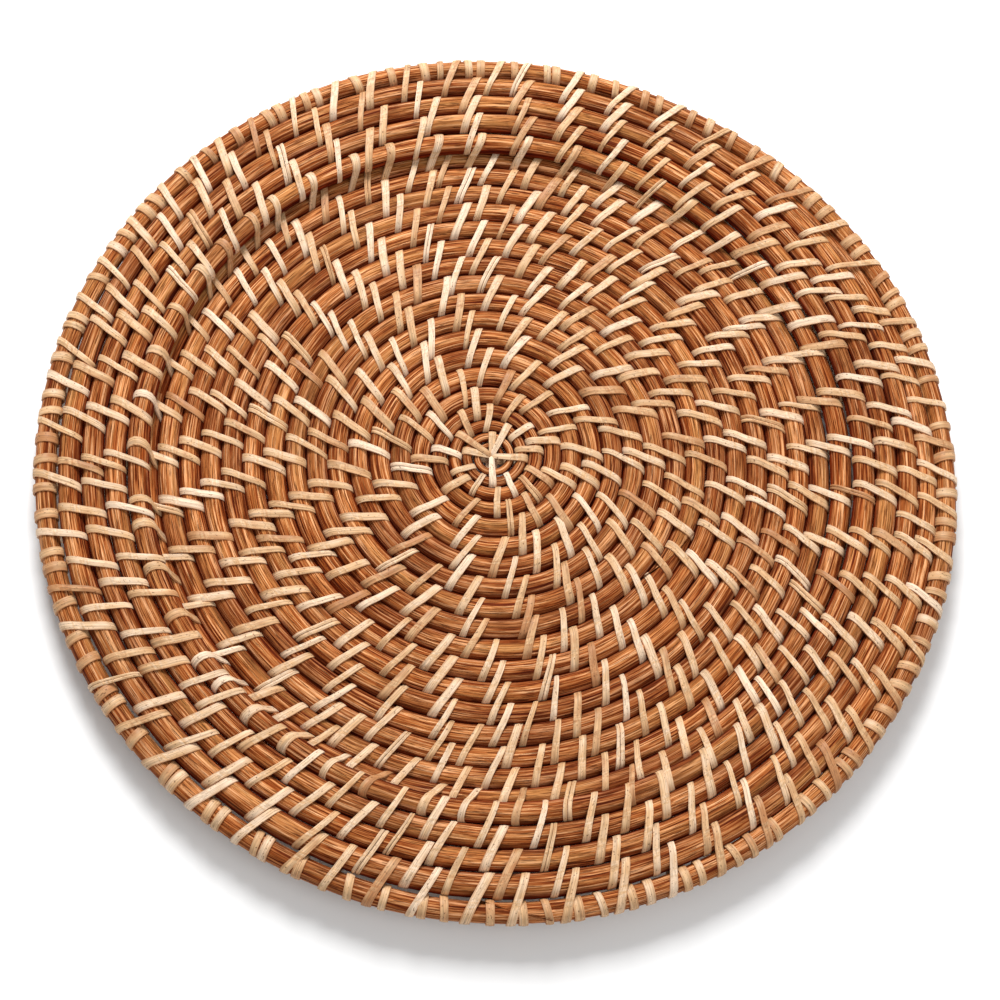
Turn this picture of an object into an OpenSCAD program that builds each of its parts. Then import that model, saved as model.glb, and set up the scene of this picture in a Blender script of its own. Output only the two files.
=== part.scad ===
// Charger plate coiled from cane: a flat base, one climbing turn, a raised rim and a hoop round the edge.
// Flat strips sew every turn to the next. The plate stands on the undersides of the base stitches.

/* [Cane] */
// Diameter of the cane that the plate is coiled from
cane_d = 6.3; // [5.6:0.1:7]
// Diameter of the shaved tip that starts the coil
tip_d = 1.4; // [1.2:0.1:2]
// Diameter of the shaved tail that ends the coil
tail_d = 1.2; // [1:0.1:2]
// Diameter of the thicker cane in the rim hoop
hoop_d = 7; // [6.4:0.1:8]
// Length of the slanted splice between two canes
splice_l = 24; // [16:1:26]
// Width of the slit where the two ends of the hoop meet
slit_w = 0.3; // [0.2:0.1:0.5]
// Width of the fine ring grooves along the cane, and of the gap where two square ends meet
groove_w = 0.2; // [0.1:0.05:0.4]
// Depth of the fine ring grooves along the cane
groove_depth = 0.4; // [0.35:0.05:0.6]

/* [Coil] */
// Radius to the middle of the cane where the tip starts
tip_r = 3.6; // [3.5:0.1:5]
// Space between the turns of the base
turn_gap = 1.2; // [1.1:0.1:1.8]
// Space between the turns of the rim
rim_gap = 1.55; // [1.2:0.05:2]
// How far the first rim turn lies outside the turn that it stands on
rim_lap = 2.3; // [1.5:0.1:3.5]
// Space between the last turn and the hoop
hoop_gap = 1.2; // [1.1:0.1:2]

/* [Binding] */
// Width of a binding strip
strip_w = 2.6; // [2:0.1:2.8]
// Thickness of a binding strip
strip_t = 0.6; // [0.4:0.05:0.7]
// Width of the strips that radiate from the centre
star_w = 2; // [1.6:0.1:2.1]
// Clearance between a strip and the cane inside it
strip_clear = 0.2; // [0.15:0.05:0.25]
// Least distance along a turn from one stitch to the next
stitch_step = 13.5; // [11:0.5:20]
// Least space between two strips where they pass each other
strip_space = 0.5; // [0.4:0.1:1]
// Lean of a stitch away from the radius, in degrees. Stitches on the tight inner turns lean less.
stitch_lean = 22; // [0:1:26]
// Distance from one wrap of the hoop to the next
wrap_step = 6.6; // [5:0.1:12]

/* [Hidden] */
ROWS = 21;
function two_digits(n) = n < 10 ? str("0", n) : str(n);
function row_name(n) = str("stitch_row_", two_digits(n));

// Turns are counted from the tip. Whole turns lie on +X and half turns on -X.
taper_turns = 5;
climb_turn = 17.5;
rim_turn = 18.5;
tail_turn = 21.5;
end_turn = 22.1;
first_sewn_turn = 1;
star_count = 6;
splice_turn = 10.94;
hoop_slit_angle = 282;

// Fineness of the swept ends and of the hoop
rings_per_turn = 36;
tail_rings = 60;
hoop_rings = 120;
tube_sides = 8;
tail_fullness = 5;
hoop_window = 3;
hoop_window_step = 6;
full_lean_r = 40;
pin_l = 3;
looked_back = 150;
nudge = 0.0001;
tangent_step = 0.004;

cane_r = cane_d / 2;
pin_r = cane_r - groove_depth;
hoop_r = hoop_d / 2;
tip_pitch = tip_d + turn_gap;
turn_pitch = cane_d + turn_gap;
rim_pitch = cane_d + rim_gap;
full_r = tip_r + taper_turns * (tip_pitch + turn_pitch) / 2;
rise = sqrt(turn_pitch ^ 2 - rim_lap ^ 2);
base_z = cane_r + strip_clear + strip_t;
rim_z = base_z + rise;
cut_over = cane_d;

cane_colour = "#9c5a34";
hoop_colour = "#95552f";
strip_colour = "#dcc08c";

// The coil is a chain of half circles, each from one crossing of the X axis to the next.
first_half = 2 * taper_turns;
climb_half = 2 * climb_turn;
rim_half = 2 * rim_turn;
tail_half = 2 * tail_turn;

function crossing_x(k) =
    k <= climb_half ? full_r + (k - first_half) * turn_pitch / 2
    : k == rim_half ? crossing_x(k - 2) + rim_lap
    : k <= rim_half + 1 ? crossing_x(k - 2) + turn_pitch
    : crossing_x(k - 2) + rim_pitch;
function crossing_z(k) = k <= climb_half ? base_z : k >= rim_half ? rim_z : (base_z + rim_z) / 2;
function side(k) = k % 2 == 0 ? 1 : -1;
function crossing(k) = [side(k) * crossing_x(k), 0, crossing_z(k)];
CROSSINGS = [for (k = [0:tail_half + 1]) crossing(k)];
function half_middle(k) = (CROSSINGS[k] + CROSSINGS[k + 1]) / 2;
function half_r(k) = norm(CROSSINGS[k + 1] - CROSSINGS[k]) / 2;
function half_tilt(k) = asin((CROSSINGS[k + 1].z - CROSSINGS[k].z) / (2 * half_r(k)));

function half_of(turn) = min(floor(2 * turn), tail_half);
function half_angle(turn) = 180 * (2 * turn - half_of(turn));
function half_point(turn) =
    let (k = half_of(turn), a = half_angle(turn), t = half_tilt(k))
    half_middle(k) + half_r(k) * [side(k) * cos(a) * cos(t), side(k) * sin(a), -cos(a) * sin(t)];

function taper_r(turn) =
    tip_r + tip_pitch * turn + (turn_pitch - tip_pitch) * turn ^ 2 / (2 * taper_turns);
function tail_share(turn) = (turn - tail_turn) / (end_turn - tail_turn);
function cane_r_at(turn) =
    turn < taper_turns ? (tip_d + (cane_d - tip_d) * turn / taper_turns) / 2
    : turn > tail_turn ? (tail_d + (cane_d - tail_d) * (1 - tail_share(turn) ^ tail_fullness)) / 2
    : cane_r;
function outward(turn) =
    let (p = half_point(turn) - half_middle(half_of(turn))) [p.x, p.y, 0] / norm([p.x, p.y]);

// Middle of the cane at a turn
function cane_point(turn) =
    turn < taper_turns
    ? [taper_r(turn) * cos(360 * turn), taper_r(turn) * sin(360 * turn), base_z]
    : turn > tail_turn
    ? half_point(turn - 1) + outward(turn - 1) * (cane_r + rim_gap + cane_r_at(turn))
    : half_point(turn);
function axis_r(turn) = norm([cane_point(turn).x, cane_point(turn).y]);

// The hoop lies round the last turn: the widest of the turns near each angle, smoothed.
function last_turn(angle) = end_turn - ((360 * end_turn - angle) % 360) / 360;
function hoop_need(angle) =
    let (t = last_turn(angle)) axis_r(t) + cane_r_at(t) + hoop_gap + hoop_r;
HOOP_NEEDS = [for (a = [0:hoop_window_step:359]) hoop_need(a)];
function near_hoop(list, i) =
    [for (j = [-hoop_window:hoop_window]) list[(i + j + len(list)) % len(list)]];
HOOP_WIDEST = [for (i = [0:len(HOOP_NEEDS) - 1]) max(near_hoop(HOOP_NEEDS, i))];
function mean(list) = list * [for (v = list) 1] / len(list);
HOOP_SMOOTH = [for (i = [0:len(HOOP_WIDEST) - 1]) mean(near_hoop(HOOP_WIDEST, i))];
function hoop_line_r(angle) =
    let (s = (angle + 360) % 360 / hoop_window_step, i = floor(s), n = len(HOOP_SMOOTH))
    HOOP_SMOOTH[i % n] + (s - i) * (HOOP_SMOOTH[(i + 1) % n] - HOOP_SMOOTH[i % n]);
function hoop_point(angle) = [hoop_line_r(angle) * cos(angle), hoop_line_r(angle) * sin(angle), rim_z];
HOOP_LINE = [for (i = [0:hoop_rings - 1]) hoop_point(360 * i / hoop_rings)];

// The plate's middle is the middle of the hoop.
function span_middle(values) = (min(values) + max(values)) / 2;
plate_middle = [span_middle([for (p = HOOP_LINE) p.x]), span_middle([for (p = HOOP_LINE) p.y]), 0];

// Least space between neighbouring turns, measured on points along the coil
coil_gap = min([for (t = [0:1 / rings_per_turn:end_turn - 1])
    norm(cane_point(t + 1) - cane_point(t)) - cane_r_at(t) - cane_r_at(t + 1)]);
echo("least gap between turns of the coil", coil_gap);

// Each stitch binds the turn that it starts on to the next turn outwards, or to the hoop.
function reaches_hoop(turn) = turn + 1 > end_turn;
function mate_point(turn) = reaches_hoop(turn) ? hoop_point(360 * turn) : cane_point(turn + 1);
function mate_r(turn) = reaches_hoop(turn) ? hoop_r : cane_r_at(turn + 1);
function heading(turn) =
    let (d = cane_point(min(turn + tangent_step, end_turn)) - cane_point(turn - tangent_step))
    atan2(d.y, d.x) - 90;

// Stitches are set one by one along the coil. Each keeps clear of the stitches one and two turns inwards.
function lean_at(turn) = stitch_lean * min(1, axis_r(turn) / full_lean_r);
pass_space = strip_w / cos(stitch_lean) + strip_space;
function shift_share(turn, turns) = turns * turn_pitch * tan(lean_at(turn)) / (2 * PI * axis_r(turn));
function space_share(turn) = pass_space / (2 * PI * axis_r(turn));
function step_share(turn) = stitch_step / (2 * PI * (axis_r(turn) + cane_r));
function free_turn(turn, set) =
    let (
        one = turn - 1 + shift_share(turn, 1),
        two = turn - 2 + shift_share(turn, 2),
        room = space_share(turn),
        ways = [for (i = [max(0, len(set) - looked_back):len(set) - 1])
            each [if (abs(set[i] - one) < room) set[i] - one + room,
                  if (abs(set[i] - two) < room) set[i] - two + room]])
    len(ways) == 0 ? turn : free_turn(turn + max(ways) + nudge, set);
function sew(turn, set) =
    let (t = free_turn(turn, set))
    t > end_turn - step_share(end_turn) / 2 ? set : sew(t + step_share(t), concat(set, [t]));
STARS = [for (j = [0:star_count - 1]) (j + 0.5) / star_count];
SEWN = sew(first_sewn_turn, STARS);

function row_start(n) = n < ROWS ? n : end_turn - 1;
function row_end(n) = n + 1 < ROWS ? n + 1 : n < ROWS ? end_turn - 1 : end_turn;
function row_turns(n) =
    [for (t = SEWN) if (t >= row_start(n) && t < row_end(n)) t];

module tube(points, normals, radii, closed = false) {
    rings = len(points);
    last = closed ? rings - 1 : rings - 2;
    corners = [for (i = [0:rings - 1]) for (s = [0:tube_sides - 1])
        let (a = 360 * s / tube_sides)
        points[i] + radii[i] * (cos(a) * normals[i] + sin(a) * [0, 0, 1])];
    walls = [for (i = [0:last]) for (s = [0:tube_sides - 1])
        let (
            u = i * tube_sides,
            v = (i + 1) % rings * tube_sides,
            w = (s + 1) % tube_sides)
        each [[u + s, v + s, v + w], [u + s, v + w, u + w]]];
    caps = closed ? [] : [for (s = [1:tube_sides - 2])
        each [[0, s, s + 1],
              [(rings - 1) * tube_sides, (rings - 1) * tube_sides + s + 1, (rings - 1) * tube_sides + s]]];
    polyhedron(corners, concat(walls, caps));
}

module half_frame(k) {
    translate(half_middle(k)) rotate([0, half_tilt(k), side(k) > 0 ? 0 : 180]) children();
}

// A ring groove parts each half turn from the next. A pin inside the cane carries on through it.
function groove_share(r) = groove_w / 2 / (2 * PI * r);
function trim(k) = 360 * groove_share(half_r(k));
module half_turn(k, from, to) {
    half_frame(k) rotate(from) rotate_extrude(angle = to - from) translate([half_r(k), 0]) circle(cane_r);
}
module whole_half(k) {
    half_turn(k, trim(k), 180 - trim(k));
}
module pin(k) {
    translate(CROSSINGS[k]) rotate([90, 0, 0]) cylinder(pin_l, r = pin_r, center = true);
}

// Half turns that meet in a slanted splice: the block covers one side of the slanted plane.
function splice_run(k) = (splice_l / 2 + cane_r) / half_r(k) * 180 / PI;
module splice_block(turn, after) {
    k = half_of(turn);
    slant = atan2(cane_d, splice_l);
    block = [splice_l + 2 * cut_over, 2 * cane_d, 2 * cane_d];
    half_frame(k) rotate(half_angle(turn)) translate([half_r(k), 0]) rotate(90 - slant)
        translate([-block.x / 2, after ? 0 : -block.y, -block.z / 2]) cube(block);
}
module splice_before(turn) {
    k = half_of(turn);
    difference() {
        half_turn(k, trim(k), half_angle(turn) + splice_run(k));
        splice_block(turn, true);
    }
}
module splice_after(turn) {
    k = half_of(turn);
    difference() {
        half_turn(k, half_angle(turn) - splice_run(k), 180 - trim(k));
        splice_block(turn, false);
    }
}

// Five lengths of cane make the coil. One joint is a slanted splice, and the others are square butts.
module cane_centre() {
    rings = rings_per_turn * taper_turns;
    end = taper_turns - groove_share(full_r);
    turns = [for (i = [0:rings]) end * i / rings];
    color(cane_colour) translate(-plate_middle)
        tube([for (t = turns) cane_point(t)],
            [for (t = turns) [cos(360 * t), sin(360 * t), 0]],
            [for (t = turns) cane_r_at(t)]);
}
module cane_inner() {
    last = half_of(splice_turn);
    color(cane_colour) translate(-plate_middle) {
        for (k = [first_half:last - 1]) whole_half(k);
        splice_before(splice_turn);
        for (k = [first_half + 1:last]) pin(k);
    }
}
module cane_base() {
    first = half_of(splice_turn);
    color(cane_colour) translate(-plate_middle) {
        splice_after(splice_turn);
        for (k = [first + 1:climb_half - 1]) whole_half(k);
        for (k = [first + 1:climb_half - 1]) pin(k);
    }
}
module cane_rim() {
    color(cane_colour) translate(-plate_middle) {
        for (k = [climb_half:tail_half - 1]) whole_half(k);
        for (k = [climb_half + 1:tail_half - 1]) pin(k);
    }
}
module cane_tail() {
    start = tail_turn + groove_share(half_r(tail_half));
    turns = [for (i = [0:tail_rings]) start + (end_turn - start) * i / tail_rings];
    color(cane_colour) translate(-plate_middle)
        tube([for (t = turns) cane_point(t)],
            [for (t = turns) outward(t - 1)],
            [for (t = turns) cane_r_at(t)]);
}

module rim_hoop() {
    slant = atan2(hoop_d, splice_l);
    slit = [slit_w, splice_l + 2 * hoop_d, 2 * hoop_d];
    color(hoop_colour) translate(-plate_middle) difference() {
        tube(HOOP_LINE,
            [for (p = HOOP_LINE) [p.x, p.y, 0] / norm([p.x, p.y])],
            [for (p = HOOP_LINE) hoop_r],
            closed = true);
        translate(hoop_point(hoop_slit_angle)) rotate(hoop_slit_angle + slant) cube(slit, center = true);
    }
}

// Section of a strip pulled tight round two canes whose middles are run apart
module loop_outline(run, r1, r2) {
    one = [-run / 2, 0];
    two = [run / 2, 0];
    up1 = [0, r1];
    up2 = [0, r2];
    translate(one) circle(r1);
    translate(two) circle(r2);
    polygon([one - up1, two - up2, two + up2, one + up1]);
}
module loop_section(run, r1, r2) {
    difference() {
        loop_outline(run, r1 + strip_t, r2 + strip_t);
        loop_outline(run, r1, r2);
    }
}

// A leaning slice of the loop, drawn in by the bow of the turns along the strip
module stitch(turn, w, lean) {
    from = cane_point(turn);
    to = mate_point(turn);
    turned = heading(turn);
    across = (to - from) * [cos(turned), sin(turned), 0];
    climb = to.z - from.z;
    run = norm([across, climb]);
    r1 = cane_r_at(turn) + strip_clear;
    r2 = mate_r(turn) + strip_clear;
    reach = run / 2 + max(r1, r2) + strip_t;
    drift = reach * tan(lean);
    bow = drift ^ 2 / (2 * axis_r(turn));
    slab = [4 * reach, w, 4 * reach];
    translate((from + to) / 2) rotate([0, -atan2(climb, across), turned]) translate([-bow, 0, 0])
        intersection() {
            rotate([90, 0, 0]) linear_extrude(2 * (drift + w), center = true) loop_section(run, r1, r2);
            rotate(-lean) cube(slab, center = true);
        }
}

module centre_stitches() {
    color(strip_colour) translate(-plate_middle) for (t = STARS) stitch(t, star_w, 0);
}
module stitch_row(n) {
    color(strip_colour) translate(-plate_middle) for (t = row_turns(n)) stitch(t, strip_w, lean_at(t));
}

// Wraps fill the hoop between the stitches of the last row.
function hoop_shift(turn) =
    norm(mate_point(turn) - cane_point(turn)) / 2 * tan(stitch_lean) / hoop_line_r(360 * turn) * 180 / PI;
HOOP_STITCHES = [for (t = row_turns(ROWS)) 360 * (t - end_turn + 1) - hoop_shift(t)];
module wraps_between(from, to) {
    middle_r = hoop_line_r((from + to) / 2 + 360 * end_turn);
    count = round((to - from) * PI / 180 * middle_r / wrap_step);
    if (count > 1) for (i = [1:count - 1]) wrap(from + (to - from) * i / count + 360 * end_turn);
}
module wrap(angle) {
    bore = hoop_r + strip_clear;
    ahead = hoop_point(angle + tangent_step * 360) - hoop_point(angle - tangent_step * 360);
    translate(hoop_point(angle)) rotate([90, 0, atan2(ahead.y, ahead.x) - 90])
        linear_extrude(strip_w, center = true) difference() {
            circle(bore + strip_t);
            circle(bore);
        }
}
module rim_wraps() {
    last = len(HOOP_STITCHES) - 1;
    color(strip_colour) translate(-plate_middle) {
        for (i = [0:last - 1]) wraps_between(HOOP_STITCHES[i], HOOP_STITCHES[i + 1]);
        wraps_between(HOOP_STITCHES[last], HOOP_STITCHES[0] + 360);
    }
}

cane_centre();
cane_inner();
cane_base();
cane_rim();
cane_tail();
rim_hoop();
rim_wraps();
centre_stitches();
for (n = [1:ROWS]) stitch_row(n);
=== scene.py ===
"""Dresses the coiled cane charger plate: its canes, its sewn strips, and the hoop with its wraps."""

import logging
import math
import random
from dataclasses import dataclass, field
from enum import Enum
from functools import cached_property

import bpy
import numpy as np
from mathutils import Matrix, Vector

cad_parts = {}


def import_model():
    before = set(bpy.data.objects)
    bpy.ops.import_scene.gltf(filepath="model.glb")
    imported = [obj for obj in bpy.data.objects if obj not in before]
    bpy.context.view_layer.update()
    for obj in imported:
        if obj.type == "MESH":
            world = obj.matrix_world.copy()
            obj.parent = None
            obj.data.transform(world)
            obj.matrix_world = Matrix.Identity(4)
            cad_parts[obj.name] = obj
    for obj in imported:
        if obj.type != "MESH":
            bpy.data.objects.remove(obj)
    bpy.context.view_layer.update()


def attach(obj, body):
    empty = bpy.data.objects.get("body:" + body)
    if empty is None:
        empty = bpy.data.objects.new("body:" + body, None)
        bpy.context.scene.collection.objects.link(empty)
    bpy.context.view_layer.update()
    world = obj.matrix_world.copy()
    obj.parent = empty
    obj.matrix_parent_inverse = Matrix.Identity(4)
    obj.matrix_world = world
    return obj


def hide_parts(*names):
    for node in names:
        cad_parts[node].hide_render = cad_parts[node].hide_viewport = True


LOG = logging.getLogger("charger_plate")
MM = 0.001
BODY = "root"
SEED = 874
MERGE_GAP = 1e-7
MIX_SHARE, MIX_FIRST, MIX_SECOND, MIX_RESULT = 0, 6, 7, 2
WHITE = (1.0, 1.0, 1.0)
LEVEL = np.array([1.0, 1.0, 0.0])
UP = np.array([0.0, 0.0, 1.0])

Colour = tuple[float, float, float]
Socket = bpy.types.NodeSocket


class Slot(Enum):
    """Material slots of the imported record."""

    CANE = "cane"
    HOOP = "hoop"
    STRIP = "strip"


class CaneEnd(Enum):
    """How an end of a cane is cut."""

    SQUARE = "square"
    SLANTED = "slanted"


@dataclass(frozen=True)
class CoilPlan:
    """Where the turns, the hoop and the stitches lie, in millimetres about the coil's own axis.

    Turns are counted from the tip. Whole turns lie on +X and half turns on -X.
    """

    # The canes, and the spaces between them.
    cane_d: float = 6.3
    tip_d: float = 1.4
    tail_d: float = 1.2
    tail_fullness: int = 5
    hoop_d: float = 7.0
    splice_l: float = 24.0
    tip_r: float = 3.6
    turn_gap: float = 1.2
    rim_gap: float = 1.55
    rim_lap: float = 2.3
    hoop_gap: float = 1.2

    # The turns at which the coil changes.
    taper_turns: int = 5
    splice_turn: float = 10.94
    climb_turn: float = 17.5
    rim_turn: float = 18.5
    tail_turn: float = 21.5
    end_turn: float = 22.1

    # The strips, and the steps from one to the next.
    strip_w: float = 2.6
    strip_t: float = 0.6
    strip_clear: float = 0.2
    strip_space: float = 0.3
    stitch_step: float = 15.4
    inner_step: float = 7.0
    stitch_lean: float = math.radians(22)
    full_lean_r: float = 40.0
    wrap_step: float = 6.6
    star_turns: tuple[float, ...] = (0.272, 0.499, 0.783, 1.017, 1.203, 1.433)
    rows: int = 21

    # How the place of the next stitch is weighed.
    least_step_share: float = 0.45
    most_step_share: float = 2.6
    step_share_grain: float = 0.05
    passing_share: float = 0.6
    even_weight: float = 2.0
    crowded_cost: float = 9.0

    # The place of the hoop's joint, and how finely the lines are worked out.
    hoop_slit_angle: float = math.radians(282)
    hoop_window: int = 3
    hoop_steps: int = 60
    hoop_rings: int = 120
    tangent_step: float = 0.004

    @property
    def cane_r(self) -> float:
        """Radius of the full cane."""
        return self.cane_d / 2

    @property
    def hoop_r(self) -> float:
        """Radius of the hoop's cane."""
        return self.hoop_d / 2

    @property
    def turn_pitch(self) -> float:
        """Distance between the turns of the base."""
        return self.cane_d + self.turn_gap

    @property
    def tip_pitch(self) -> float:
        """Distance between the turns at the tip."""
        return self.tip_d + self.turn_gap

    @property
    def base_z(self) -> float:
        """Height of the middle of the base canes."""
        return self.cane_r + self.strip_clear + self.strip_t

    @property
    def rim_z(self) -> float:
        """Height of the middle of the rim canes."""
        return self.base_z + math.sqrt(self.turn_pitch**2 - self.rim_lap**2)

    @cached_property
    def crossings(self) -> np.ndarray:
        """Points where the coil crosses the X axis, one every half turn."""
        full = 2 * self.taper_turns
        climb, rim = int(2 * self.climb_turn), int(2 * self.rim_turn)
        full_r = self.tip_r + self.taper_turns * (self.tip_pitch + self.turn_pitch) / 2
        across: list[float] = []
        points = []
        for half in range(int(2 * self.tail_turn) + 2):
            if half <= climb:
                across.append(full_r + (half - full) * self.turn_pitch / 2)
            elif half == rim:
                # Here the coil has climbed on to the turn before, so it moves out by the lap alone.
                across.append(across[half - 2] + self.rim_lap)
            elif half <= rim + 1:
                across.append(across[half - 2] + self.turn_pitch)
            else:
                across.append(across[half - 2] + self.cane_d + self.rim_gap)
            if half <= climb:
                height = self.base_z
            elif half >= rim:
                height = self.rim_z
            else:
                height = (self.base_z + self.rim_z) / 2
            points.append((across[half] if half % 2 == 0 else -across[half], 0.0, height))
        return np.array(points)

    def half_frame(self, turns: np.ndarray) -> tuple[np.ndarray, np.ndarray]:
        """Gives the half circle that each turn lies on.

        Args:
            turns: Places along the coil, in turns.

        Returns:
            The middles of the half circles, and the arms from there to the coil.
        """
        turns = np.asarray(turns, float)
        half = np.minimum(np.floor(2 * turns), 2 * self.tail_turn).astype(int)
        start, end = self.crossings[half], self.crossings[half + 1]
        reach = np.linalg.norm(end - start, axis=-1) / 2
        tilt = np.arcsin((end - start)[..., 2] / (2 * reach))
        angle = np.pi * (2 * turns - half)
        side = np.where(half % 2 == 0, 1.0, -1.0)
        arm = np.stack(
            [
                side * np.cos(angle) * np.cos(tilt),
                side * np.sin(angle),
                -np.cos(angle) * np.sin(tilt),
            ],
            axis=-1,
        )
        return (start + end) / 2, reach[..., None] * arm

    def radius(self, turns: np.ndarray) -> np.ndarray:
        """Gives the radius of the cane, which is shaved at the tip and at the tail.

        Args:
            turns: Places along the coil, in turns.

        Returns:
            The radius at each place.
        """
        turns = np.asarray(turns, float)
        tip = (self.tip_d + (self.cane_d - self.tip_d) * turns / self.taper_turns) / 2
        share = np.clip((turns - self.tail_turn) / (self.end_turn - self.tail_turn), 0, 1)
        tail = (self.tail_d + (self.cane_d - self.tail_d) * (1 - share**self.tail_fullness)) / 2
        return np.where(turns < self.taper_turns, tip, tail)

    def point(self, turns: np.ndarray) -> np.ndarray:
        """Gives the middle of the cane.

        Args:
            turns: Places along the coil, in turns.

        Returns:
            One point for each place.
        """
        turns = np.asarray(turns, float)
        widening = (self.turn_pitch - self.tip_pitch) * turns**2 / (2 * self.taper_turns)
        taper_r = self.tip_r + self.tip_pitch * turns + widening
        angle = 2 * np.pi * turns
        height = np.full_like(turns, self.base_z)
        tip = np.stack([taper_r * np.cos(angle), taper_r * np.sin(angle), height], axis=-1)
        middle, arm = self.half_frame(turns)
        # The tail leaves the half circles and lies beside the turn inside it.
        inner_middle, inner_arm = self.half_frame(np.maximum(turns - 1, 0))
        outward = inner_arm * LEVEL
        outward = outward / np.linalg.norm(outward, axis=-1, keepdims=True)
        offset = self.cane_r + self.rim_gap + self.radius(turns)
        tail = inner_middle + inner_arm + outward * offset[..., None]
        body = np.where((turns > self.tail_turn)[..., None], tail, middle + arm)
        return np.where((turns < self.taper_turns)[..., None], tip, body)

    def axis_r(self, turns: np.ndarray) -> np.ndarray:
        """Distance from the coil's axis to the middle of the cane."""
        return np.linalg.norm(self.point(turns)[..., :2], axis=-1)

    @cached_property
    def hoop_line(self) -> np.ndarray:
        """Radius of the hoop's middle at equal steps of angle: the last turn's widest, smoothed."""
        angles = np.arange(self.hoop_steps) / self.hoop_steps
        turns = self.end_turn - (self.end_turn - angles) % 1.0
        needs = self.axis_r(turns) + self.radius(turns) + self.hoop_gap + self.hoop_r
        window = range(-self.hoop_window, self.hoop_window + 1)
        widest = np.max([np.roll(needs, shift) for shift in window], axis=0)
        return np.mean([np.roll(widest, shift) for shift in window], axis=0)

    @cached_property
    def hoop_mean_r(self) -> float:
        """Mean radius of the hoop's middle."""
        return float(np.mean(self.hoop_line))

    def hoop_line_r(self, angles: np.ndarray) -> np.ndarray:
        """Gives the radius of the hoop's middle.

        Args:
            angles: Places round the hoop.

        Returns:
            The radius at each place.
        """
        steps = np.asarray(angles, float) / (2 * np.pi) % 1.0 * self.hoop_steps
        closed = np.append(self.hoop_line, self.hoop_line[0])
        return np.interp(steps, np.arange(self.hoop_steps + 1), closed)

    def hoop_point(self, angles: np.ndarray) -> np.ndarray:
        """Gives the middle of the hoop's cane.

        Args:
            angles: Places round the hoop.

        Returns:
            One point for each place.
        """
        angles = np.asarray(angles, float)
        reach = self.hoop_line_r(angles)
        height = np.full_like(reach, self.rim_z)
        return np.stack([reach * np.cos(angles), reach * np.sin(angles), height], axis=-1)

    @cached_property
    def plate_middle(self) -> np.ndarray:
        """Middle of the hoop, which is the origin of the plate's frame."""
        line = self.hoop_point(2 * np.pi * np.arange(self.hoop_rings) / self.hoop_rings)
        return (line.min(axis=0) + line.max(axis=0)) / 2 * LEVEL

    def reaches_hoop(self, turn: float) -> bool:
        """Tells whether a stitch at this turn binds the coil to the hoop."""
        return turn + 1 > self.end_turn

    def lean(self, turn: float) -> float:
        """Lean of a stitch away from the radius, less on the tight inner turns."""
        return self.stitch_lean * min(1.0, float(self.axis_r(turn)) / self.full_lean_r)

    @cached_property
    def sewn(self) -> list[float]:
        """Turns of all stitches after the centre strips, set one by one along the coil.

        Each best divides the gap between the strips that it passes on its own cane, lies about one
        step after the last stitch, and keeps clear of the strips two turns inwards.
        """
        pass_space = self.strip_w / math.cos(self.stitch_lean) + self.strip_space
        shares = np.arange(self.least_step_share, self.most_step_share, self.step_share_grain)
        placed = list(self.star_turns)
        while True:
            last = placed[-1]
            reach = float(self.axis_r(last))
            around = 2 * math.pi * reach
            full_share = min(1.0, reach / self.full_lean_r)
            step = self.inner_step + (self.stitch_step - self.inner_step) * full_share
            shift = self.turn_pitch * math.tan(self.lean(last)) / around
            spots = last + shares * step / around
            ways = (np.array(placed) - (spots - 1 + shift)[:, None]) * around
            ahead = np.where(ways > 0, ways, step).min(axis=1)
            behind = np.where(ways <= 0, -ways, step).min(axis=1)
            meeting = np.abs(np.array(placed) - (spots - 2 + 2 * shift)[:, None]) * around
            lack = pass_space - np.minimum(np.minimum(ahead, behind), meeting.min(axis=1))
            uneven = self.even_weight * (shares - 1) ** 2
            passing = (behind / (behind + ahead) - self.passing_share) ** 2
            cost = uneven + passing + np.where(lack > 0, self.crowded_cost + lack, 0)
            turn = float(spots[cost.argmin()])
            if turn > self.end_turn - step / 2 / around:
                return placed[len(self.star_turns) :]
            placed.append(turn)

    def row(self, number: int) -> list[float]:
        """Finds the stitches of one row.

        Args:
            number: Number of the row, the first being 1 and the last the one that holds the hoop.

        Returns:
            The turns at which its stitches lie.
        """
        starts = [*range(1, self.rows), self.end_turn - 1, self.end_turn]
        return [turn for turn in self.sewn if starts[number - 1] <= turn < starts[number]]


@dataclass(frozen=True)
class Grain:
    """A noise drawn out along the fibres: its steps per millimetre each way, and its finer layers."""

    steps: tuple[float, float, float]
    layers: float


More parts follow.
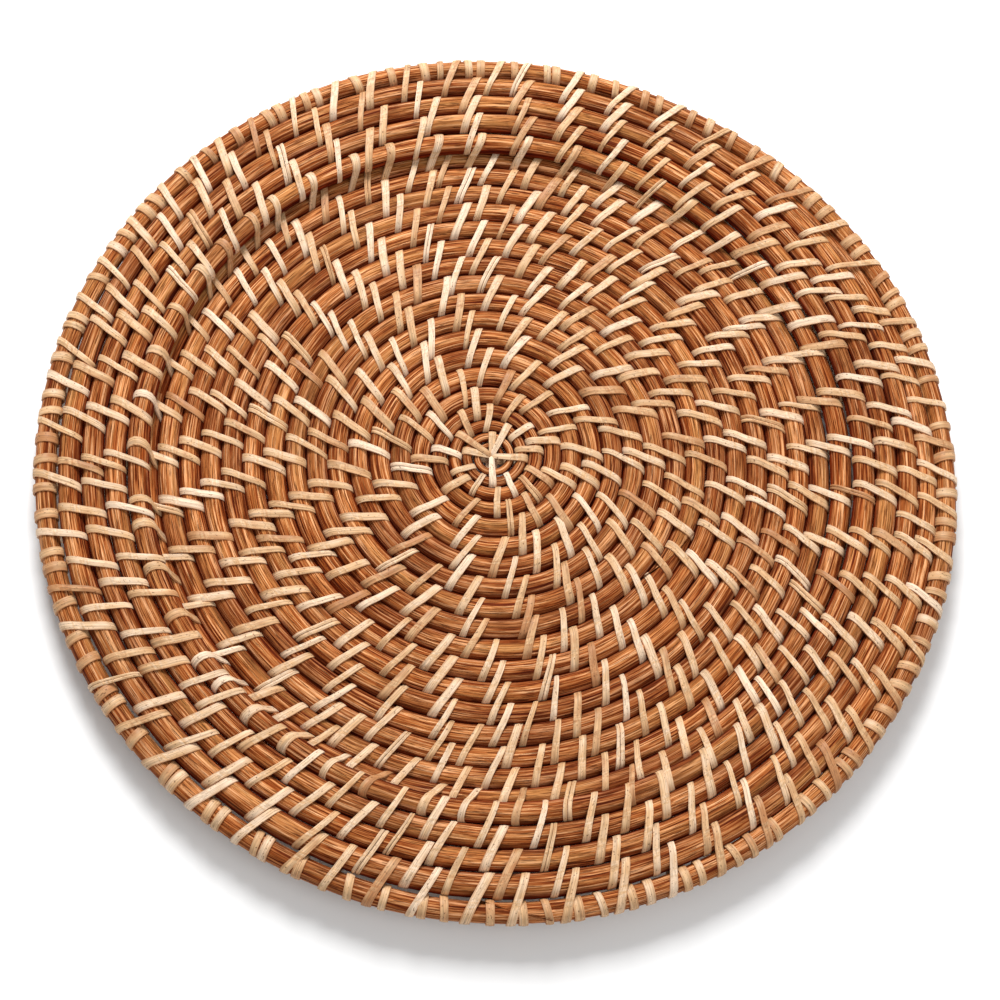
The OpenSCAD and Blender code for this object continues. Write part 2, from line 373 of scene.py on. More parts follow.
@dataclass
class NodeSheet:
    """A material's node tree, with short ways to add and join nodes."""

    name: str
    material: bpy.types.Material = field(init=False)

    def __post_init__(self) -> None:
        """Makes the material and clears its tree."""
        self.material = bpy.data.materials.new(self.name)
        self.material.use_nodes = True
        self.material.node_tree.nodes.clear()

    def add(self, kind: str, inputs: dict | None = None, **settings: object) -> bpy.types.Node:
        """Adds a node.

        Args:
            kind: Blender's name for the node type.
            inputs: Values or output sockets for the node's inputs, by name or number.
            settings: Values for the node's own properties.

        Returns:
            The new node.
        """
        node = self.material.node_tree.nodes.new(kind)
        for key, value in settings.items():
            setattr(node, key, value)
        for key, value in (inputs or {}).items():
            if isinstance(value, Socket):
                self.material.node_tree.links.new(value, node.inputs[key])
            else:
                node.inputs[key].default_value = value
        return node

    def attribute(self, name: str, output: str) -> Socket:
        """Reads an attribute of the mesh, as a number (Fac) or a vector (Vector)."""
        return self.add("ShaderNodeAttribute", attribute_name=name).outputs[output]

    def math(self, operation: str, *values: Socket | float) -> Socket:
        """Adds a sum on numbers or sockets."""
        return self.add("ShaderNodeMath", dict(enumerate(values)), operation=operation).outputs[0]

    def noise(self, place: Socket, grain: Grain) -> Socket:
        """Adds a noise that is drawn out along the fibres.

        Args:
            place: Place on the surface, in millimetres along each direction of the fibres.
            grain: How the noise is drawn out.

        Returns:
            The noise's value.
        """
        scaled = self.add("ShaderNodeVectorMath", {0: place, 1: grain.steps}, operation="MULTIPLY")
        inputs = {"Vector": scaled.outputs[0], "Scale": 1.0, "Detail": grain.layers}
        return self.add("ShaderNodeTexNoise", inputs).outputs["Fac"]

    def ramp(self, value: Socket, places: tuple[float, ...], colours: tuple[Colour, ...]) -> Socket:
        """Adds a colour ramp.

        Args:
            value: What the ramp reads.
            places: Values at which the colours stand, from low to high.
            colours: One colour for each place.

        Returns:
            The ramp's colour.
        """
        node = self.add("ShaderNodeValToRGB", {"Fac": value})
        elements = node.color_ramp.elements
        while len(elements) < len(places):
            elements.new(0.5)
        for element, place, colour in zip(elements, places, colours):
            element.position = place
            element.color = (*colour, 1.0)
        return node.outputs["Color"]

    def mix(
        self, share: Socket | float, first: Socket, second: Socket | Colour, blend: str = "MIX"
    ) -> Socket:
        """Adds a colour mix.

        Args:
            share: How much of the second colour is taken.
            first: First colour.
            second: Second colour, from a socket or the same all over.
            blend: Blender's name for the way of mixing.

        Returns:
            The mixed colour.
        """
        other = second if isinstance(second, Socket) else (*second, 1.0)
        # The mix node has sockets of one name for each type of data, so they go by number.
        inputs = {MIX_SHARE: share, MIX_FIRST: first, MIX_SECOND: other}
        node = self.add("ShaderNodeMix", inputs, data_type="RGBA", blend_type=blend)
        return node.outputs[MIX_RESULT]

    def remap(self, value: Socket, low: tuple[float, float], high: tuple[float, float]) -> Socket:
        """Maps a value from one range to another.

        Args:
            value: What is mapped.
            low: Lowest value read and what it becomes.
            high: Highest value read and what it becomes.

        Returns:
            The mapped value.
        """
        inputs = {"Value": value, "From Min": low[0], "From Max": high[0]}
        inputs |= {"To Min": low[1], "To Max": high[1]}
        return self.add("ShaderNodeMapRange", inputs).outputs["Result"]

    def bump(self, height: Socket, strength: float, depth: float) -> Socket:
        """Adds a bump.

        Args:
            height: Height of the surface, in shares of the depth.
            strength: How much of the bump is taken.
            depth: Depth of the bump, in metres.

        Returns:
            The bumped normal.
        """
        inputs = {"Strength": strength, "Distance": depth, "Height": height}
        return self.add("ShaderNodeBump", inputs).outputs["Normal"]

    def surface(self, inputs: dict) -> bpy.types.Material:
        """Ends the tree in one surface shader.

        Args:
            inputs: Values or sockets of the shader.

        Returns:
            The finished material.
        """
        shader = self.add("ShaderNodeBsdfPrincipled", inputs)
        self.add("ShaderNodeOutputMaterial", {"Surface": shader.outputs["BSDF"]})
        return self.material


@dataclass(frozen=True)
class CaneFinish:
    """Stained cane: long fibres, dark streaks and pale patches under a thin varnish, with painted
    shade on its sides where the turns meet.
    """

    name: str
    dark: Colour = (0.095, 0.011, 0.0015)
    brown: Colour = (0.275, 0.06, 0.009)
    tan: Colour = (0.50, 0.187, 0.057)
    pale: Colour = (0.78, 0.395, 0.19)
    colour_places: tuple[float, ...] = (0.388, 0.455, 0.53, 0.612)
    fibres: Grain = Grain((2.3, 2.3, 0.05), 5.0)
    streaks: Grain = Grain((0.9, 0.9, 0.02), 3.0)
    streak_share: float = 0.4

    ochre: Colour = (0.50, 0.235, 0.07)
    hues: Grain = Grain((0.2, 0.2, 0.014), 2.0)
    ochre_range: tuple = ((0.52, 0.0), (0.7, 0.45))

    dull: Colour = (0.70, 0.62, 0.60)
    bright: Colour = (1.2, 1.2, 1.18)
    patches: Grain = Grain((0.12, 0.12, 0.022), 2.0)
    patch_places: tuple[float, ...] = (0.32, 0.50, 0.68)

    pores: Grain = Grain((4.6, 4.6, 0.14), 2.0)
    pore_range: tuple = ((0.56, 0.0), (0.68, 0.85))

    # Painted shade: the sides of the cane, in the crevices between turns, are multiplied by this
    # colour.
    crevice_shade: Colour = (0.36, 0.10, 0.03)
    crevice_shade_places: tuple[float, ...] = (0.34, 0.84)

    rough_range: tuple = ((0.3, 0.67), (0.7, 0.49))
    specular: float = 0.07
    bump_strength: float = 0.85
    bump_depth: float = 0.0005

    def make(self) -> bpy.types.Material:
        """Builds the material, which reads the grain and crest attributes of the canes.

        Returns:
            The material.
        """
        sheet = NodeSheet(self.name)
        grain = sheet.attribute("grain", "Vector")
        crest = sheet.attribute("crest", "Fac")
        fibres = sheet.noise(grain, self.fibres)
        streaks = sheet.noise(grain, self.streaks)
        threads = sheet.mix(self.streak_share, fibres, streaks)
        stain = (self.dark, self.brown, self.tan, self.pale)
        colour = sheet.ramp(threads, self.colour_places, stain)
        ochre = sheet.remap(sheet.noise(grain, self.hues), *self.ochre_range)
        colour = sheet.mix(ochre, colour, self.ochre)
        patches = sheet.noise(grain, self.patches)
        tone = sheet.ramp(patches, self.patch_places, (self.dull, WHITE, self.bright))
        colour = sheet.mix(1.0, colour, tone, "MULTIPLY")
        pits = sheet.remap(sheet.noise(grain, self.pores), *self.pore_range)
        colour = sheet.mix(pits, colour, self.dark)
        # Painted shade: the colour darkens towards the sides of the cane, where the crest is low, as
        # shade in the crevices.
        shade = sheet.ramp(crest, self.crevice_shade_places, (self.crevice_shade, WHITE))
        colour = sheet.mix(1.0, colour, shade, "MULTIPLY")
        height = sheet.math("SUBTRACT", fibres, pits)
        return sheet.surface(
            {
                "Base Color": colour,
                "Roughness": sheet.remap(fibres, *self.rough_range),
                "Specular IOR Level": self.specular,
                "Normal": sheet.bump(height, self.bump_strength, self.bump_depth),
            }
        )


@dataclass(frozen=True)
class StripFinish:
    """Flat rattan peel: straw coloured, finely lined, with brown flecks, and painted shade that
    darkens its edges to tan.
    """

    name: str
    tan: Colour = (0.47, 0.21, 0.085)
    straw: Colour = (0.67, 0.41, 0.21)
    cream: Colour = (0.83, 0.62, 0.44)
    colour_places: tuple[float, ...] = (0.05, 0.45, 0.95)
    clouds: Grain = Grain((0.35, 0.16, 1.0), 2.0)
    cloud_middle: float = 0.5
    cloud_strength: float = 1.1

    lines: Grain = Grain((3.2, 0.06, 1.0), 3.0)
    line_range: tuple = ((0.38, 0.68), (0.60, 1.08))

    fleck: Colour = (0.12, 0.045, 0.015)
    spots: Grain = Grain((2.0, 1.1, 1.0), 2.0)
    fleck_range: tuple = ((0.62, 0.0), (0.70, 0.8))

    # Painted shade: the strip darkens to tan towards its edges, read in millimetres from its middle.
    edge_shade_range: tuple = ((0.98, 0.0), (1.4, 0.6))

    roughness: float = 0.5
    specular: float = 0.25
    bump_strength: float = 0.35
    bump_depth: float = 0.0002

    def make(self) -> bpy.types.Material:
        """Builds the material, which reads the grain and tint attributes of the strips.

        Returns:
            The material.
        """
        sheet = NodeSheet(self.name)
        grain = sheet.attribute("grain", "Vector")
        tint = sheet.attribute("tint", "Fac")
        cloud = sheet.math("SUBTRACT", sheet.noise(grain, self.clouds), self.cloud_middle)
        tone = sheet.math("MULTIPLY_ADD", cloud, self.cloud_strength, tint)
        colour = sheet.ramp(tone, self.colour_places, (self.tan, self.straw, self.cream))
        lines = sheet.noise(grain, self.lines)
        colour = sheet.mix(1.0, colour, sheet.remap(lines, *self.line_range), "MULTIPLY")
        flecked = sheet.remap(sheet.noise(grain, self.spots), *self.fleck_range)
        colour = sheet.mix(flecked, colour, self.fleck)
        across = sheet.add("ShaderNodeSeparateXYZ", {0: grain}).outputs[0]
        edge_shading = sheet.remap(sheet.math("ABSOLUTE", across), *self.edge_shade_range)
        # Painted shade: towards its edges the strip is mixed to tan.
        colour = sheet.mix(edge_shading, colour, self.tan)
        return sheet.surface(
            {
                "Base Color": colour,
                "Roughness": self.roughness,
                "Specular IOR Level": self.specular,
                "Normal": sheet.bump(lines, self.bump_strength, self.bump_depth),
            }
        )


@dataclass(frozen=True)
class Wander:
    """A slow, smooth drift along a cane, so that no turn is a perfect circle."""

    reach: float
    seed: int
    lengths: tuple[float, ...] = (31.0, 53.0, 97.0)

    def at(self, along: np.ndarray) -> np.ndarray:
        """Gives the drift, within the reach either way.

        Args:
            along: Lengths along the cane.

        Returns:
            The drift at each length.
        """
        draw = random.Random(self.seed)
        waves = [np.sin(2 * np.pi * (along / size + draw.random())) for size in self.lengths]
        return self.reach * np.mean(waves, axis=0)


def level_outward(ahead: np.ndarray) -> np.ndarray:
    """Turns directions along a cane into level directions outwards.

    Args:
        ahead: Directions along the cane, of any length.

    Returns:
        Directions of unit length, square to the cane.
    """
    ahead = ahead * LEVEL
    ahead = ahead / np.linalg.norm(ahead, axis=-1, keepdims=True)
    return np.stack([ahead[..., 1], -ahead[..., 0], np.zeros_like(ahead[..., 0])], axis=-1)


@dataclass
class CaneLine:
    """The middle line of a cane, ring by ring, and how its ends are cut."""

    points: np.ndarray
    outward: np.ndarray
    radii: np.ndarray
    along: np.ndarray
    start: CaneEnd
    end: CaneEnd


@dataclass
class DrawnCoil:
    """The coil as it is drawn: a little fuller and higher than the plan, and wandering slightly."""

    plan: CoilPlan
    fuller: float = 0.36
    raised: float = 0.5
    sideways: Wander = Wander(0.18, 3)
    upwards: Wander = Wander(0.16, 5)
    swell: Wander = Wander(0.10, 8, (19.0, 43.0, 71.0))
    steps_per_turn: int = 400
    least_rings: int = 8
    long_end: float = 22.2
    tail_slack: float = 0.35
    tail_tip_r: float = 0.25
    tail_ease: float = 0.08
    tail_fuller: float = 0.35

    @cached_property
    def length_table(self) -> tuple[np.ndarray, np.ndarray]:
        """Turns, and the length of coil from the tip to each of them."""
        turns = np.linspace(0, self.long_end, int(self.long_end * self.steps_per_turn))
        steps = np.linalg.norm(np.diff(self.plan.point(turns), axis=0), axis=1)
        return turns, np.concatenate([[0], np.cumsum(steps)])

    def along(self, turns: np.ndarray) -> np.ndarray:
        """Length of coil from the tip to each turn."""
        return np.interp(turns, *self.length_table)

    def turn_at(self, along: np.ndarray) -> np.ndarray:
        """Turn that lies at each length of coil from the tip."""
        return np.interp(along, self.length_table[1], self.length_table[0])

    def outward(self, turns: np.ndarray) -> np.ndarray:
        """Gives the level direction away from the inner turn, square to the cane.

        Args:
            turns: Places along the coil, in turns.

        Returns:
            One direction for each place.
        """
        step = self.plan.tangent_step
        low, high = np.maximum(turns - step, 0), np.minimum(turns + step, self.long_end)
        return level_outward(self.plan.point(high) - self.plan.point(low))

    def tail(self, turns: np.ndarray) -> tuple[np.ndarray, np.ndarray]:
        """Shaves the tail to fill the wedge between the turn inside it and the hoop.

        Args:
            turns: Places along the coil, in turns.

        Returns:
            The tail's radius, and how far its middle lies from the middle of the turn inside.
        """
        plan = self.plan
        inside = plan.axis_r(np.maximum(turns - 1, 0)) + plan.cane_r
        wedge = plan.hoop_line_r(2 * np.pi * turns) - plan.hoop_r - inside
        # The gaps narrow towards the tip, and the tail eases from beside the turn inside to mid-wedge.
        share = np.clip((turns - plan.tail_turn) / (self.long_end - plan.tail_turn), 0, 1)
        slack = 1 + (self.tail_slack - 1) * share
        ease = np.clip((turns - plan.tail_turn) / self.tail_ease, 0, 1)
        most = plan.cane_r + self.tail_fuller * ease
        room = wedge - slack * (plan.rim_gap + plan.hoop_gap)
        reach = np.clip(room / 2, self.tail_tip_r, most)
        beside = plan.cane_r + slack * plan.rim_gap + reach
        return reach, beside + ease * (plan.cane_r + wedge / 2 - beside)

    def radius(self, turns: np.ndarray) -> np.ndarray:
        """Gives the drawn radius of the cane.

        Args:
            turns: Places along the coil, in turns.

        Returns:
            The radius at each place.
        """
        turns = np.asarray(turns, float)
        in_tail = turns > self.plan.tail_turn
        plain = np.where(in_tail, self.tail(turns)[0], self.plan.radius(turns))
        share = plain / self.plan.cane_r
        return plain + share * (self.fuller + self.swell.at(self.along(turns)))

    def point(self, turns: np.ndarray) -> np.ndarray:
        """Gives the drawn middle of the cane.

        Args:
            turns: Places along the coil, in turns.

        Returns:
            One point for each place.
        """
        turns = np.asarray(turns, float)
        along = self.along(turns)
        calm = (self.plan.radius(turns) / self.plan.cane_r)[..., None]
        drift = self.outward(turns) * self.sideways.at(along)[..., None]
        lift = UP * (self.raised + self.upwards.at(along))[..., None]
        inside = np.maximum(turns - 1, 0)
        tail = self.plan.point(inside) + self.outward(inside) * self.tail(turns)[1][..., None]
        in_tail = (turns > self.plan.tail_turn)[..., None]
        return np.where(in_tail, tail, self.plan.point(turns)) + calm * (drift + lift)

    def line(self, start: float, end: float, step: float, cuts: tuple[CaneEnd, CaneEnd]) -> CaneLine:
        """Draws the middle line of one length of cane.

        Args:
            start: Turn at which it starts.
            end: Turn at which it ends.
            step: Distance from ring to ring, in millimetres.
            cuts: How its two ends are cut.

        Returns:
            The line, with half a splice more at each slanted end.
        """
        low, high = self.along(np.array([start, end]))
        low -= self.plan.splice_l / 2 if cuts[0] is CaneEnd.SLANTED else 0
        high += self.plan.splice_l / 2 if cuts[1] is CaneEnd.SLANTED else 0
        along = np.linspace(low, high, max(self.least_rings, round((high - low) / step)))
        turns = self.turn_at(along)
        return CaneLine(self.point(turns), self.outward(turns), self.radius(turns), along, *cuts)


@dataclass
class DrawnHoop:
    """The hoop as it is drawn, open where its slanted ends meet."""

    plan: CoilPlan
    fuller: float = 0.1
    sideways: Wander = Wander(0.15, 13, (61.0, 83.0, 127.0))
    swell: Wander = Wander(0.08, 17, (23.0, 41.0, 67.0))
    step: float = 2.5

    def outward(self, angles: np.ndarray) -> np.ndarray:
        """Gives the level direction away from the middle, square to the hoop.

        Args:
            angles: Places round the hoop.

        Returns:
            One direction for each place.
        """
        step = 2 * np.pi * self.plan.tangent_step
        low, high = self.plan.hoop_point(angles - step), self.plan.hoop_point(angles + step)
        return level_outward(high - low)

    def along(self, angles: np.ndarray) -> np.ndarray:
        """Length of hoop from the slit to each angle, taken on its mean radius."""
        return (np.asarray(angles, float) - self.plan.hoop_slit_angle) * self.plan.hoop_mean_r

    def radius(self, angles: np.ndarray) -> np.ndarray:
        """Drawn radius of the hoop's cane."""
        return self.plan.hoop_r + self.fuller + self.swell.at(self.along(angles))

    def point(self, angles: np.ndarray) -> np.ndarray:
        """Drawn middle of the hoop's cane."""
        drift = self.sideways.at(self.along(angles))[..., None]
        return self.plan.hoop_point(angles) + self.outward(angles) * drift

    def line(self) -> CaneLine:
        """Draws the middle line of the hoop.

        Returns:
            The line, once round and lapped by one splice.
        """
        lap = self.plan.splice_l / 2 / self.plan.hoop_mean_r
        rings = round(2 * math.pi * self.plan.hoop_mean_r / self.step)
        angles = self.plan.hoop_slit_angle + np.linspace(-lap, 2 * math.pi + lap, rings)
        places = self.point(angles), self.outward(angles), self.radius(angles), self.along(angles)
        return CaneLine(*places, CaneEnd.SLANTED, CaneEnd.SLANTED)


def pick(*pieces: bpy.types.Object) -> None:
    """Selects these pieces alone and makes the first one active.

    Args:
        pieces: The pieces to select.
    """
    bpy.ops.object.select_all(action="DESELECT")
    for piece in pieces:
        piece.select_set(True)
    bpy.context.view_layer.objects.active = pieces[0]


def start_grid(name: str, across: int, along: int) -> bpy.types.Object:
    """Adds a flat grid to be rolled into a piece.

    Args:
        name: Name of the piece.
        across: Faces across the grid.
        along: Faces along the grid.

    Returns:
        The grid, which reaches from -1 to 1 both ways.
    """
    bpy.ops.object.select_all(action="DESELECT")
    bpy.ops.mesh.primitive_grid_add(x_subdivisions=across, y_subdivisions=along, size=2)
    grid = bpy.context.active_object
    grid.name = grid.data.name = name
    return grid


def grid_shares(mesh: bpy.types.Mesh) -> np.ndarray:
    """Reads how far across and along a new grid its points lie.

    Args:
        mesh: The grid's mesh.

    Returns:
        Two shares from 0 to 1 for each point, across and along.
    """
    flat = np.empty(len(mesh.vertices) * 3, np.float32)
    mesh.vertices.foreach_get("co", flat)
    return (flat.reshape(-1, 3)[:, :2].astype(float) + 1) / 2


def write_points(mesh: bpy.types.Mesh, points: np.ndarray) -> None:
    """Writes a mesh's points, one row each."""
    mesh.vertices.foreach_set("co", np.ascontiguousarray(points, np.float32).ravel())
    mesh.update()


def write_attribute(mesh: bpy.types.Mesh, name: str, values: np.ndarray) -> None:
    """Stores a number or a vector at each point of a mesh.

    Args:
        mesh: The mesh.
        name: Name of the attribute.
        values: One number or one row of three numbers for each point.
    """
    kind, key = ("FLOAT_VECTOR", "vector") if values.ndim == 2 else ("FLOAT", "value")
    layer = mesh.attributes.new(name, kind, "POINT")
    layer.data.foreach_set(key, np.ascontiguousarray(values, np.float32).ravel())


def close_piece(piece: bpy.types.Object, angle: float, capped: bool) -> None:
    """Merges the seams of a rolled grid, caps its ends and shades it.

    Args:
        piece: The piece, with its seams lying together.
        angle: Faces that meet at less than this are shaded smooth.
        capped: Whether open ends are filled.
    """
    pick(piece)
    bpy.ops.object.mode_set(mode="EDIT")
    bpy.ops.mesh.select_all(action="SELECT")
    bpy.ops.mesh.remove_doubles(threshold=MERGE_GAP)
    if capped:
        bpy.ops.mesh.fill_holes(sides=0)
    bpy.ops.mesh.normals_make_consistent(inside=False)
    bpy.ops.object.mode_set(mode="OBJECT")
    bpy.ops.object.shade_smooth_by_angle(angle=angle)


def seat(piece: bpy.types.Object, material: bpy.types.Material, slot: Slot, *nodes: str) -> None:
    """Gives a piece its finish and sets it in place of its solids.

    Args:
        piece: The finished piece.
        material: Its finish.
        slot: The record's slot that the finish stands for. Not used.
        nodes: The solids that it stands for.
    """
    piece.data.materials.clear()
    piece.data.materials.append(material)
    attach(piece, BODY)
    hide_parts(*nodes)
    LOG.info("%s: %d faces in place of %s", piece.name, len(piece.data.polygons), ", ".join(nodes))


@dataclass
class CanePiece:
    """One length of cane, rolled from a grid round its middle line."""

    name: str
    node: str
    line: CaneLine
    plan: CoilPlan
    order: int
    sides: int = 18
    smooth_angle: float = math.radians(50)
    broader: float = 0.0
    oval: float = 0.018
    facet: float = 0.012
    facets: int = 5
    twist_l: float = 40.0
    facet_twist: float = 1.7
    splice_gap: float = 0.12
    grain_offset: float = 900.0

    def section(self, around: np.ndarray, ring: np.ndarray) -> tuple[np.ndarray, np.ndarray]:
        """Shapes the cane's section, cut by the slanted planes at its ends.

        Args:
            around: Angle round the cane of each point.
            ring: Ring number of each point.

        Returns:
            How far each point lies outwards and upwards from the middle line.
        """
        line = self.line
        along = line.along[ring]
        twist = along / self.twist_l + self.order
        ovalled = self.oval * np.sin(2 * around + twist)
        faceted = self.facet * np.sin(self.facets * around + self.facet_twist * twist)
        reach = line.radii[ring] * (1 + ovalled + faceted)
        broad = self.broader * line.radii[ring] / self.plan.cane_r
        outwards, upwards = (reach + broad) * np.cos(around), reach * np.sin(around)
        slope = 2 * float(line.radii.max()) / self.plan.splice_l
        half = self.plan.splice_l / 2
        if line.start is CaneEnd.SLANTED:
            cut = (along - line.along[0] - half) * slope - self.splice_gap
            outwards = np.minimum(outwards, cut)
        if line.end is CaneEnd.SLANTED:
            cut = (along - line.along[-1] + half) * slope
            outwards = np.maximum(outwards, cut)
        return outwards, upwards

    def build(self, finish: bpy.types.Material, slot: Slot) -> None:
        """Rolls the cane and dresses it.

        Args:
            finish: The cane's material.
            slot: The record's slot for it.
        """
        rings = len(self.line.along) - 1
        piece = start_grid(self.name, self.sides, rings)
        share = grid_shares(piece.data)
        around = 2 * np.pi * share[:, 0] - np.pi / 2
        ring = np.rint(share[:, 1] * rings).astype(int)
        outwards, upwards = self.section(around, ring)
        places = self.line.points[ring] + self.line.outward[ring] * outwards[:, None]
        places[:, 2] += upwards
        write_points(piece.data, (places - self.plan.plate_middle) * MM)
        reach = self.line.radii[ring]
        length = self.line.along[ring] + self.order * self.grain_offset
        grain = np.stack([reach * np.cos(around), reach * np.sin(around), length], axis=-1)
        write_attribute(piece.data, "grain", grain)
        # The crest is 1 at the top and bottom of the cane and 0 at its sides, where the finish paints
        # shade.
        write_attribute(piece.data, "crest", np.abs(np.sin(around)))
        close_piece(piece, self.smooth_angle, capped=True)
        seat(piece, finish, slot, self.node)


@dataclass
class StripPath:
    """A closed strip, station by station: the middle of its inner face, its directions and widths."""

    points: np.ndarray
    sides: np.ndarray
    normals: np.ndarray
    widths: np.ndarray
    tint: float


@dataclass
class Grip:
    """Two canes that a strip holds: their middles and radii, and the level direction outwards."""

    begin: np.ndarray
    begin_r: float
    end: np.ndarray
    end_r: float
    outward: np.ndarray


@dataclass
class StripMaker:
    """Models one strip as a closed ring and lays copies of it along paths."""

    plan: CoilPlan
    stations: int = 16
    thickness: float = 0.72
    profile: tuple = ((-0.5, 0.0), (-0.485, 0.78), (0.0, 1.0), (0.485, 0.78), (0.5, 0.0))
    pattern_r: float = 2.0
    smooth_angle: float = math.radians(38)
    grain_offset: float = 7.3
    pattern: bpy.types.Object = field(init=False)
    corner: np.ndarray = field(init=False)
    station: np.ndarray = field(init=False)

    def __post_init__(self) -> None:
        """Rolls the pattern strip and notes which corner and station each point is."""
        corners = len(self.profile)
        self.pattern = start_grid("pattern_strip", corners, self.stations)
        mesh = self.pattern.data
        share = grid_shares(mesh)
        corner = np.rint(share[:, 0] * corners).astype(int) % corners
        station = np.rint(share[:, 1] * self.stations).astype(int) % self.stations
        write_attribute(mesh, "place", np.stack([corner, station, 0 * corner], axis=-1))
        turn = 2 * np.pi * station / self.stations
        flat = np.array(self.profile)[corner]
        reach = self.pattern_r + flat[:, 1]
        ring = np.stack([reach * np.cos(turn), flat[:, 0], reach * np.sin(turn)], axis=-1)
        write_points(mesh, ring)
        close_piece(self.pattern, self.smooth_angle, capped=False)
        place = np.empty(len(mesh.vertices) * 3, np.float32)
        mesh.attributes["place"].data.foreach_get("vector", place)
        self.corner, self.station, _ = np.rint(place.reshape(-1, 3)).astype(int).T
        mesh.attributes.remove(mesh.attributes["place"])

    def lay(self, path: StripPath, order: int) -> bpy.types.Object:
        """Copies the pattern and lays the copy along a path.

        Args:
            path: Where the strip goes.
            order: Number of the strip, which shifts its grain.

        Returns:
            The laid strip.
        """
        mesh = self.pattern.data.copy()
        flat = np.array(self.profile)[self.corner]
        across = flat[:, 0] * path.widths[self.station]
        places = path.points[self.station] + path.sides[self.station] * across[:, None]
        places += path.normals[self.station] * (flat[:, 1] * self.thickness)[:, None]
        write_points(mesh, (places - self.plan.plate_middle) * MM)
        steps = np.linalg.norm(np.diff(path.points, axis=0, append=path.points[:1]), axis=1)
        along = np.concatenate([[0], np.cumsum(steps)[:-1]])
        shift = np.full(len(across), self.grain_offset * order)
        write_attribute(mesh, "grain", np.stack([across, along[self.station], shift], axis=-1))
        write_attribute(mesh, "tint", np.full(len(across), path.tint))
        strip = bpy.data.objects.new(f"strip_{order}", mesh)
        bpy.context.scene.collection.objects.link(strip)
        return strip

    def gather(self, name: str, paths: list[StripPath], first: int) -> bpy.types.Object:
        """Lays many strips and joins them into one piece.

        Args:
            name: Name of the piece.
            paths: Where the strips go.
            first: Number of the first strip.

        Returns:
            The joined piece.
        """
        strips = [self.lay(path, first + i) for i, path in enumerate(paths)]
        pick(*strips)
        bpy.ops.object.join()
        strips[0].name = strips[0].data.name = name
        return strips[0]

    def put_away(self) -> None:
        """Deletes the pattern strip."""
        bpy.data.objects.remove(self.pattern)


def spread(values: np.ndarray) -> np.ndarray:
    """Gives where each value lies between the least and the most, from 0 to 1."""
    return (values - values.min()) / np.ptp(values)


